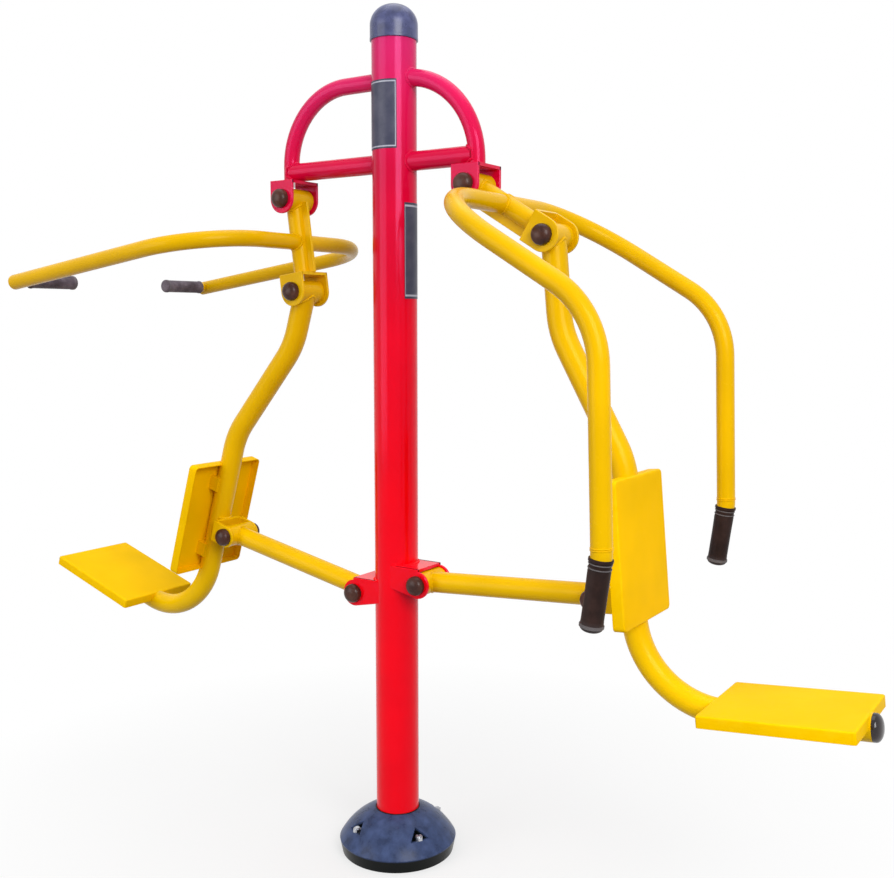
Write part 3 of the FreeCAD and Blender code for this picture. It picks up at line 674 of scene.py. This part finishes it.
def capParts(place):
    # a cap on each side of a pivot, turned about y
    radius, foot = capShape["radius"], capShape["foot"]
    rim = [[0, radius - capShape["edgeIn"]], [capShape["edgeUp"], radius]]
    profile = np.concatenate([rim, domeRows(capShape["rim"], radius, capShape["crown"])])
    return [(place, turnedSurface(profile, (0, side * foot, 0), (0, side, 0), capShape["around"]))
            for side in (-1, 1)]


fixedCaps = []
for name, info in stations.items():
    fixedCaps += capParts(info["topPin"]) + capParts(info["postPin"])
    for part, place in (("Lever", "leverFoot"), ("Seat", "lugFrame")):
        body = name + "_" + part.lower()
        capPiece(name + part + "Caps", capParts(info[place]), body, body + "_pin_caps")
capPiece("fixedCaps", fixedCaps, "frame", "frame_pin_caps")

# Post cap: a straight skirt with a small lip and a domed top
postCapShape = {
    "foot": 2120.0, "bore": 57.4, "wall": 60.5, "lip": 61.0, "edge": 0.8, "lipTop": 6.0,
    "lipEnd": 6.6, "skirt": 37.0, "shoulder": 1.0, "around": 72,
    "crown": {"rise": 53.0, "fullness": 0.92, "first": 0, "last": 0.02, "steps": 26}}
wall, lip, edge = postCapShape["wall"], postCapShape["lip"], postCapShape["edge"]
skirt = [[0, postCapShape["bore"]], [0, lip - edge], [edge, lip], [postCapShape["lipTop"], lip],
         [postCapShape["lipEnd"], wall], [postCapShape["skirt"] - postCapShape["shoulder"], wall]]
capSides = np.concatenate([skirt, domeRows(postCapShape["skirt"], wall, postCapShape["crown"])])
postCap = turnedSurface(capSides, (0, 0, postCapShape["foot"]), alongZ, postCapShape["around"])
makePiece("postCap", [(here, postCap)], "frame", postCapPlastic, ["post_cap"])

# A dark rubber ring where the base cover meets the post: a painted contact shadow in the gap
gapShadowShape = {"radius": 58.9, "height": 115.6, "bead": 1.6, "steps": 96, "around": 10}
a = circle(gapShadowShape["steps"])
x, y = gapShadowShape["radius"] * np.cos(a), gapShadowShape["radius"] * np.sin(a)
gapShadowRing = asPoints(x, y, gapShadowShape["height"])
coverGapShadow = tubeSurface(gapShadowRing, gapShadowShape["bead"], around=gapShadowShape["around"], closed=True)
makePiece("coverGapShadow", [(here, coverGapShadow)], "frame", gripRubber)
print("caps made")

# Bare labels: a thin sheet bent round the post, p(u, v) at angle(u) and height(v), with a UV map
labelSheet = {"layers": (57.25, 58.05), "across": 40, "up": 12}
labelShapes = {
    "upperLabel": {"node": "upper_label", "foot": 1850.0, "tall": 168.0, "span": 92.0,
                   "facing": -94.0},
    "lowerLabel": {"node": "lower_label", "foot": 1478.0, "tall": 240.0, "span": 58.0,
                   "facing": 0.0}}
wide, rows = labelSheet["across"], labelSheet["up"]
count = wide * rows
u, v = np.meshgrid(np.linspace(0, 1, wide), np.linspace(0, 1, rows), indexing="ij")
i, j = np.meshgrid(np.arange(wide - 1), np.arange(rows - 1), indexing="ij")
first = i * rows + j
cell = asPoints(first, first + rows, first + rows + 1, first + 1).reshape(-1, 4)
rim = np.concatenate([np.arange(0, count, rows), np.arange(count - rows + 1, count),
                      np.arange(count - rows - 1, 0, -rows), np.arange(rows - 2, 0, -1)])
after = np.roll(rim, -1)
walls = asPoints(rim, after, after + count, rim + count)
# the inner sheet, the outer one, and the walls between their rims
labelFaces = cell[:, ::-1].tolist() + (cell + count).tolist() + walls.tolist()
sheetUv = np.tile(asPoints(u.ravel(), v.ravel()), (2, 1))
for name, shape in labelShapes.items():
    angle = np.radians(shape["facing"] + shape["span"] * (u - 0.5))
    height = shape["foot"] + shape["tall"] * v
    layers = [asPoints(radius * np.cos(angle), radius * np.sin(angle), height).reshape(-1, 3)
              for radius in labelSheet["layers"]]
    label = (np.concatenate(layers), labelFaces, np.zeros(2 * count))
    makePiece(name, [(here, label)], "frame", bareLabel, [shape["node"]], uv=sheetUv)
print("labels made")

# Levers: barrel, pipe, rib and welds
leverShape = {
    "barrel": 30.0, "barrelHalf": 45.5, "chamfer": 1.5, "barrelAround": 64, "radius": 24.15,
    "pipeTop": 20.0, "ribWide": 20.0, "ribThick": 8.0, "ribSink": 10.0, "ribTop": 12.0,
    "ribBevel": 1.2, "bead": 3.6, "footBead": 4.0, "around": 80}


def barrelParts(place):
    # a sleeve about the pivot, chamfered at both ends
    half, edge, radius = leverShape["barrelHalf"], leverShape["chamfer"], leverShape["barrel"]
    profile = [(-half, radius - edge), (-half + edge, radius), (half - edge, radius),
               (half, radius - edge)]
    return [(place, turnedSurface(profile, (0, 0, 0), alongY, leverShape["barrelAround"]))]


webTop = pivots["leverLength"] - clevisShape["webNear"] - clevisShape["web"]
for name, info in stations.items():
    lever, body, radius = info["lever"], name + "_lever", leverShape["radius"]
    yellowPiece(name + "LeverBarrel", barrelParts(lever), body, name + "_lever_barrel")
    run = bentPath([(0, 0, -leverShape["pipeTop"]), (0, 0, -webTop)], [])
    yellowPiece(name + "LeverPipe", [(lever, tubeSurface(run, radius))], body, name + "_lever_tube")
    thick = leverShape["ribThick"] / 2
    outline = slab(-radius - leverShape["ribWide"], -leverShape["ribSink"], -webTop,
                   -leverShape["ribTop"])
    rib = plateSurface(outline, -thick, thick, leverShape["ribBevel"])
    yellowPiece(name + "LeverRib", [(lever, rib)], body, name + "_lever_rib")
    a = circle(leverShape["around"])
    x, y = radius * np.cos(a), radius * np.sin(a)
    head = asPoints(x, y, -halfChord(leverShape["barrel"], x))
    beads = [(lever, weldBead(head, leverShape["bead"])),
             (lever, weldBead(asPoints(x, y, -webTop), leverShape["footBead"]))]
    x, z = info["bow"] * np.cos(a), info["bow"] * np.sin(a) - info["cross"]
    for side in (-1, 1):
        collar = asPoints(x, side * halfChord(radius, x), z)
        beads.append((lever, weldBead(collar, leverShape["bead"])))
    yellowPiece(name + "LeverWelds", beads, body)

# Handlebars: a wide bow of bent tube. The pull bow ends in cross grips, and the press bow hangs
# down to its grips. Grip rows are (along, swell over the grip's radius, wear).
pullHandle = {
    "half": 360.0, "bend": 210.0, "arm": 758.0, "endSink": 2.0, "endSkirt": 3.0,
    "endCrown": {"rise": 9.0, "fullness": 1.0, "first": 0.1, "last": 0.05, "steps": 12},
    "stubSetback": 18.0, "stubReach": 180.0, "grip": 19.2, "sleeve": 147.0, "tip": 20.4,
    "footRows": [(0, -5.2, 0), (0, 0, 0.1), (1.2, 1.2, 0.25), (5.0, 1.2, 0.2), (7.0, 0, 0)],
    "endRows": [(-9.0, 0, 0), (-6.0, 1.2, 0.2), (0, 1.2, 0.25)],
    "crown": {"rise": 9.0, "fullness": 0.8, "first": 0.1, "last": 0.05, "steps": 12},
    "tipWear": 0.06, "around": 40}
pressHandle = {
    "half": 360.0, "bend": 210.0, "arm": 493.0, "drop": 56.7, "run": 479.0, "tilt": 66.4,
    "end": 144.0, "armBend": 200.0, "gripBend": 60.0, "seams": (11.0, 15.0), "seam": 1.4,
    "seamSteps": 60, "seamAround": 8, "seat": 6.0, "grip": 23.8, "sleeve": 142.0, "tip": 23.8,
    "footRows": [(0, -1.1, 0), (0, 1.0, 0), (0.8, 1.8, 0), (6.0, 1.8, 0), (7.0, 0, 0),
                 (9.0, -0.8, 0), (9.8, 0.8, 0.5), (11.4, 0.8, 0.5), (12.2, -0.8, 0),
                 (18.5, -0.8, 0), (19.3, 0.8, 0.5), (20.9, 0.8, 0.5), (21.7, -0.8, 0),
                 (27.0, 0, 0), (60.0, -0.5, 0)],
    "endRows": [(-16.0, -0.5, 0), (-7.0, 0, 0.05), (-5.0, 1.8, 0.4), (0, 1.8, 0.45), (1.0, 0, 0.2)],
    "crown": {"rise": 11.0, "fullness": 0.8, "first": 0.2, "last": 0.05, "steps": 12},
    "tipWear": 0.08, "around": 48}


def gripSleeve(shape, at, ahead):
    # rows counted from the foot, rows counted from the end, then a rounded tip
    grip, length = shape["grip"], shape["sleeve"]
    rows = [(along, grip + swell, worn) for along, swell, worn in shape["footRows"]]
    rows += [(length + along, grip + swell, worn) for along, swell, worn in shape["endRows"]]
    tip = domeRows(length, shape["tip"], shape["crown"])
    tip = asPoints(tip[:, 0], tip[:, 1], shape["tipWear"])
    return turnedSurface(np.concatenate([rows, tip]), at, ahead, shape["around"])


info = stations["pull"]
lever, cross, bow = info["lever"], info["cross"], info["bow"]
arm, half = pullHandle["arm"], pullHandle["half"]
path = bentPath([(arm, -half, -cross), (0, -half, -cross), (0, half, -cross), (arm, half, -cross)],
                [pullHandle["bend"]] * 2)
yellowPiece("pullHandlebar", [(lever, tubeSurface(path, bow))], "pull_lever", "pull_handlebar")
endRim = [[-pullHandle["endSink"], bow], [pullHandle["endSkirt"], bow]]
endCrown = domeRows(pullHandle["endSkirt"], bow, pullHandle["endCrown"])
armEnd = np.concatenate([endRim, endCrown])
armEnds = [(lever, turnedSurface(armEnd, (arm, side * half, -cross), alongX)) for side in (-1, 1)]
yellowPiece("pullArmEnds", armEnds, "pull_lever", "pull_end_caps")
gripStart = pullHandle["stubReach"] - pullHandle["sleeve"]
pullGrips = []
for side in (-1, 1):
    foot = (arm - pullHandle["stubSetback"], side * (half - gripStart), -cross)
    pullGrips.append((lever, gripSleeve(pullHandle, foot, (0, -side, 0))))
makePiece("pullGrips", pullGrips, "pull_lever", weatheredRubber, ["pull_grips"])

info = stations["press"]
lever, cross, bow = info["lever"], info["cross"], info["bow"]
half = pressHandle["half"]
downArm, tilt = heading(pressHandle["drop"]), heading(pressHandle["tilt"])
knee = np.array([0.0, 0.0, -cross - pressHandle["arm"]])
wrist = knee + pressHandle["run"] * downArm
tip = wrist + pressHandle["end"] * tilt
near = [p + (0, -half, 0) for p in (tip, wrist, knee, np.array([0.0, 0.0, -cross]))]
far = [p * (1, -1, 1) for p in reversed(near)]
bends = [pressHandle["gripBend"], pressHandle["armBend"], pressHandle["bend"]]
path = bentPath(near + far, bends + bends[::-1])
yellowPiece("pressHandlebar", [(lever, tubeSurface(path, bow))], "press_lever", "press_handlebar")
# two fine raised seams round each arm just above its grip
a = circle(pressHandle["seamSteps"])[:, None]
roundArm = np.cross(downArm, alongY) * np.cos(a) + np.array(alongY) * np.sin(a)
seams, pressGrips = [], []
for side in (-1, 1):
    for back in pressHandle["seams"]:
        ring = wrist - back * downArm + (0, side * half, 0) + bow * roundArm
        seam = tubeSurface(ring, pressHandle["seam"], pressHandle["seamAround"], closed=True)
        seams.append((lever, seam))
    foot = wrist + pressHandle["seat"] * tilt + (0, side * half, 0)
    pressGrips.append((lever, gripSleeve(pressHandle, foot, tilt)))
yellowPiece("pressArmSeams", seams, "press_lever")
makePiece("pressGrips", pressGrips, "press_lever", gripRubber, ["press_grips"])
print("levers and handlebars made")

# Seat frames, and the links back to the post
seatShape = {
    "radius": 30.15, "around": 48, "slope": 0.105, "swayBend": 220.0, "heelBend": 205.0,
    "collar": 29.4, "weldSteps": 90, "bead": 3.6, "lugBead": 4.0, "lugTurn": 1.0, "lugSteps": 30}
panShape = {"long": 330.0, "wide": 266.0, "rim": 28.0, "corner": 6.0, "centre": 586.0, "top": 32.9}
backShape = {"long": 336.0, "wide": 260.0, "rim": 30.0, "corner": 12.0, "depth": 714.0, "top": 36.5}
sheetShape = {
    "thick": 3.0, "fold": 4.0, "foldSteps": 6, "crown": 1.6, "edgeIn": 0.4, "edgeUp": 0.6,
    "tightCorner": 0.6, "gaps": (0.12, 0.3, 0.55, 0.8, 0.97),
    "wear": [0, 0, 0.5, 0.5] + [1] * 6 + [0.35, 0.2, 0.1, 0, 0]}
plugShape = {
    "stem": 26.2, "stemLong": 14.0, "gap": 0.2, "rim": 29.6, "edge": 0.8, "radius": 30.15,
    "skirt": 5.0,
    "crown": {"rise": 14.6, "fullness": 0.9, "first": 0.1, "last": 0.04, "steps": 14}}
linkShape = {"radius": 27.0, "barrel": 30.0, "bead": 2.2, "start": 14.0, "stop": 18.0}


def panSurface(shape):
    # pressed sheet: rings of the outline from the inside round the edge and the fold to the middle,
    # each stepped in by its own gap, the face crowned by crown * (1 - (1 - gap / reach)^2)
    thick, fold, crown = sheetShape["thick"], sheetShape["fold"], sheetShape["crown"]
    rim = shape["rim"] - crown
    reach = min(shape["long"], shape["wide"]) / 2 - fold
    levels = [(thick, rim - thick), (thick, 0), (sheetShape["edgeIn"], 0),
              (0, sheetShape["edgeUp"])]
    for a in np.linspace(0, math.pi / 2, sheetShape["foldSteps"]):
        levels.append((fold * (1 - math.cos(a)), rim - fold * (1 - math.sin(a))))
    for share in sheetShape["gaps"]:
        gap = share * reach
        levels.append((gap, rim + crown * (1 - (1 - gap / reach) ** 2)))
    rings = []
    for step, height in levels:
        # corners tighter than the step in keep their own small radius
        tight = max(shape["corner"] - step, sheetShape["tightCorner"])
        flat = roundedOutline(shape["long"] - 2 * step, shape["wide"] - 2 * step, tight)
        rings.append(asPoints(flat[:, 0], flat[:, 1], height))
    return ringPart(np.array(rings), rub=sheetShape["wear"])


plugRows = [[-plugShape["stemLong"], plugShape["stem"]], [-plugShape["gap"], plugShape["stem"]],
            [0.0, plugShape["rim"]], [plugShape["edge"], plugShape["radius"]],
            [plugShape["skirt"], plugShape["radius"]]]
plugCrown = domeRows(plugShape["skirt"], plugShape["radius"], plugShape["crown"])
plug = turnedSurface(np.concatenate([plugRows, plugCrown]), (0, 0, 0), alongX)
pan, rest = panSurface(panShape), panSurface(backShape)
slope, rise = seatShape["slope"], math.degrees(math.atan(seatShape["slope"]))
panFoot = shift(0, 0, panShape["top"] - panShape["rim"])
backFoot = shift(backShape["top"] - backShape["rim"], 0, 0) @ swingBy(-90.0)
for name, info in stations.items():
    seat, body, heel = info["seat"], name + "_seat", info["heel"]
    end, centre = info["seatEnd"], panShape["centre"]
    tail = np.array([end, 0.0, heel[2] + slope * (end - heel[0])])
    path = bentPath([(0, 0, 0), info["first"], info["shoulder"], heel, tail],
                    [seatShape["swayBend"], seatShape["swayBend"], seatShape["heelBend"]])
    pipe = tubeSurface(path, seatShape["radius"], seatShape["around"])
    yellowPiece(name + "SeatPipe", [(seat, pipe)], body, name + "_seat_tube")
    yellowPiece(name + "SeatBarrel", barrelParts(seat), body, name + "_seat_barrel")
    deck = seat @ shift(centre, 0, heel[2] + slope * (centre - heel[0])) @ swingBy(rise)
    yellowPiece(name + "SeatPan", [(deck @ panFoot, pan)], body, name + "_seat_pan",
                coat=seatPowderCoat)
    step = (backShape["depth"] + info["shoulder"][2]) / -info["down"][2]
    back = seat @ shift(*(info["shoulder"] + info["down"] * step)) @ swingBy(info["lean"])
    yellowPiece(name + "Backrest", [(back @ backFoot, rest)], body, name + "_backrest",
                coat=seatPowderCoat)
    mouth = seat @ shift(*tail) @ swingBy(rise)
    capPiece(name + "TubePlug", [(mouth, plug)], body, name + "_tube_plug", plastic=plugPlastic)
    a = circle(seatShape["weldSteps"])
    x, y = seatShape["collar"] * np.cos(a), seatShape["collar"] * np.sin(a)
    head = asPoints(x, y, -halfChord(leverShape["barrel"], x))
    beads = [(seat, weldBead(head, seatShape["bead"]))]
    turn = np.linspace(-seatShape["lugTurn"], seatShape["lugTurn"], seatShape["lugSteps"])
    for side in (-1, 1):
        curve = asPoints(side * clevisShape["seatSpan"], seatShape["radius"] * np.sin(turn),
                         pivots["lugStand"] - seatShape["radius"] * np.cos(turn))
        beads.append((info["lugFrame"], weldBead(curve, seatShape["lugBead"], closed=False)))
    yellowPiece(name + "SeatWelds", beads, body)

    link, body, radius = info["link"], name + "_link", linkShape["radius"]
    run = bentPath([(linkShape["start"], 0, 0), (info["span"] - linkShape["stop"], 0, 0)], [])
    yellowPiece(name + "LinkPipe", [(link, tubeSurface(run, radius))], body, name + "_link_tube")
    y, z = radius * np.cos(a), radius * np.sin(a)
    reach = halfChord(linkShape["barrel"], z)
    ends = [asPoints(reach, y, z), asPoints(info["span"] - reach, y, z)]
    beads = [(link, weldBead(end, linkShape["bead"])) for end in ends]
    yellowPiece(name + "LinkWelds", beads, body)
print("seat frames and links made")


# Stage: white paper floor, a sky that looks white, three soft lamps and the camera
def backdropRays(add):
    # 1 for rays that show the backdrop: straight to the camera, in a reflection or through glass
    ray = add("ShaderNodeLightPath").outputs
    seen = add("ShaderNodeMath", {0: ray["Is Camera Ray"], 1: ray["Is Glossy Ray"]},
               operation="MAXIMUM")
    return add("ShaderNodeMath", {0: seen, 1: ray["Is Transmission Ray"]}, operation="MAXIMUM")


# The paper is seen as white, fully so beyond 1.6 m, and keeps a soft share of the shadow nearer.
# The light that it throws back on the part is that of grey ground, so that undersides stay dark.
floorShape = {
    "half": 30, "near": 0.3, "far": 1.6, "nearWhite": 0.62, "paper": "DEDEDE", "ground": "8C8C8A",
    "roughness": 0.9, "shine": 0.1}
white = {"Color": (1.0, 1.0, 1.0, 1.0), "Strength": 1.0}
half = floorShape["half"]
floorMesh = bpy.data.meshes.new("studioFloor")
floorMesh.from_pydata(asPoints(*slab(-half, half, -half, half).T, 0), [], [(0, 1, 2, 3)])
floor = bpy.data.objects.new("studioFloor", floorMesh)
bpy.context.scene.collection.objects.link(floor)
floorMaterial, add, place = startMaterial("studioPaper")
away = add("ShaderNodeVectorMath", {0: place}, operation="LENGTH").outputs["Value"]
share = add("ShaderNodeMapRange", {"Value": away}, From_Min=floorShape["near"],
            From_Max=floorShape["far"], To_Min=floorShape["nearWhite"])
shaded = add("ShaderNodeBsdfPrincipled", Base_Color=linear(floorShape["paper"]),
             Roughness=floorShape["roughness"], Specular_IOR_Level=floorShape["shine"])
glow = add("ShaderNodeEmission", **white)
paper = add("ShaderNodeMixShader", {0: share, 1: shaded, 2: glow})
ground = add("ShaderNodeBsdfDiffuse", Color=linear(floorShape["ground"]))
mixed = add("ShaderNodeMixShader", {0: backdropRays(add), 1: ground, 2: paper})
add("ShaderNodeOutputMaterial", {"Surface": mixed})
floorMesh.materials.append(floorMaterial)

# The backdrop is white, and the part is lit by a sky dim at the horizon and bright overhead
skyShape = {"high": 0.8, "horizon": 0.16, "zenith": 0.8, "colour": (0.98, 0.99, 1.0, 1.0)}
world = bpy.data.worlds.new("studioWorld")
bpy.context.scene.world = world
add = partial(addNode, emptyTree(world))
outlook = add("ShaderNodeTexCoord").outputs["Generated"]
climb = add("ShaderNodeSeparateXYZ", {"Vector": outlook}).outputs["Z"]
glow = add("ShaderNodeMapRange", {"Value": climb}, From_Max=skyShape["high"],
           To_Min=skyShape["horizon"], To_Max=skyShape["zenith"])
soft = add("ShaderNodeBackground", {"Strength": glow}, Color=skyShape["colour"])
plain = add("ShaderNodeBackground", **white)
mixed = add("ShaderNodeMixShader", {0: backdropRays(add), 1: soft, 2: plain})
add("ShaderNodeOutputWorld", {"Surface": mixed})


def aimed(name, kind, at, ahead):
    # a lamp or camera that looks along a direction
    holder = bpy.data.objects.new(name, kind)
    holder.location = at
    holder.rotation_euler = ahead.to_track_quat("-Z", "Y").to_euler()
    bpy.context.scene.collection.objects.link(holder)
    return holder


lampShapes = {
    "keyLamp": {"at": (3.3, -2.2, 2.9), "to": (0, 0, 1.1), "size": 2.2, "power": 124.0},
    "fillLamp": {"at": (-2.2, -4.2, 2.1), "to": (0, 0, 1.0), "size": 3.2, "power": 84.0},
    "topLamp": {"at": (0, 0.6, 5.2), "to": (0, 0, 0.6), "size": 3.4, "power": 48.0}}
for name, shape in lampShapes.items():
    lamp = bpy.data.lights.new(name, "AREA")
    lamp.size = shape["size"]
    lamp.energy = shape["power"]
    aimed(name, lamp, shape["at"], Vector(shape["to"]) - Vector(shape["at"]))

# Camera fitted to the photograph: 36.3 degrees round from the front, 1.42 m up, 6.3 degrees down
view = {
    "at": (1.6638, -2.2629, 1.4229), "heading": 33.602, "pitch": 6.264, "focal": 1079.36,
    "wide": 894.0, "sensor": 36.0}
swing, pitch = math.radians(view["heading"]), math.radians(view["pitch"])
ahead = Vector((-math.sin(swing) * math.cos(pitch), math.cos(swing) * math.cos(pitch),
                -math.sin(pitch)))
lens = bpy.data.cameras.new("photoCamera")
lens.sensor_width = view["sensor"]
lens.sensor_fit = "HORIZONTAL"
lens.lens = view["sensor"] * view["focal"] / view["wide"]
bpy.context.scene.camera = aimed("photoCamera", lens, view["at"], ahead)
bpy.context.scene.view_settings.view_transform = "Standard"
print("stage made")
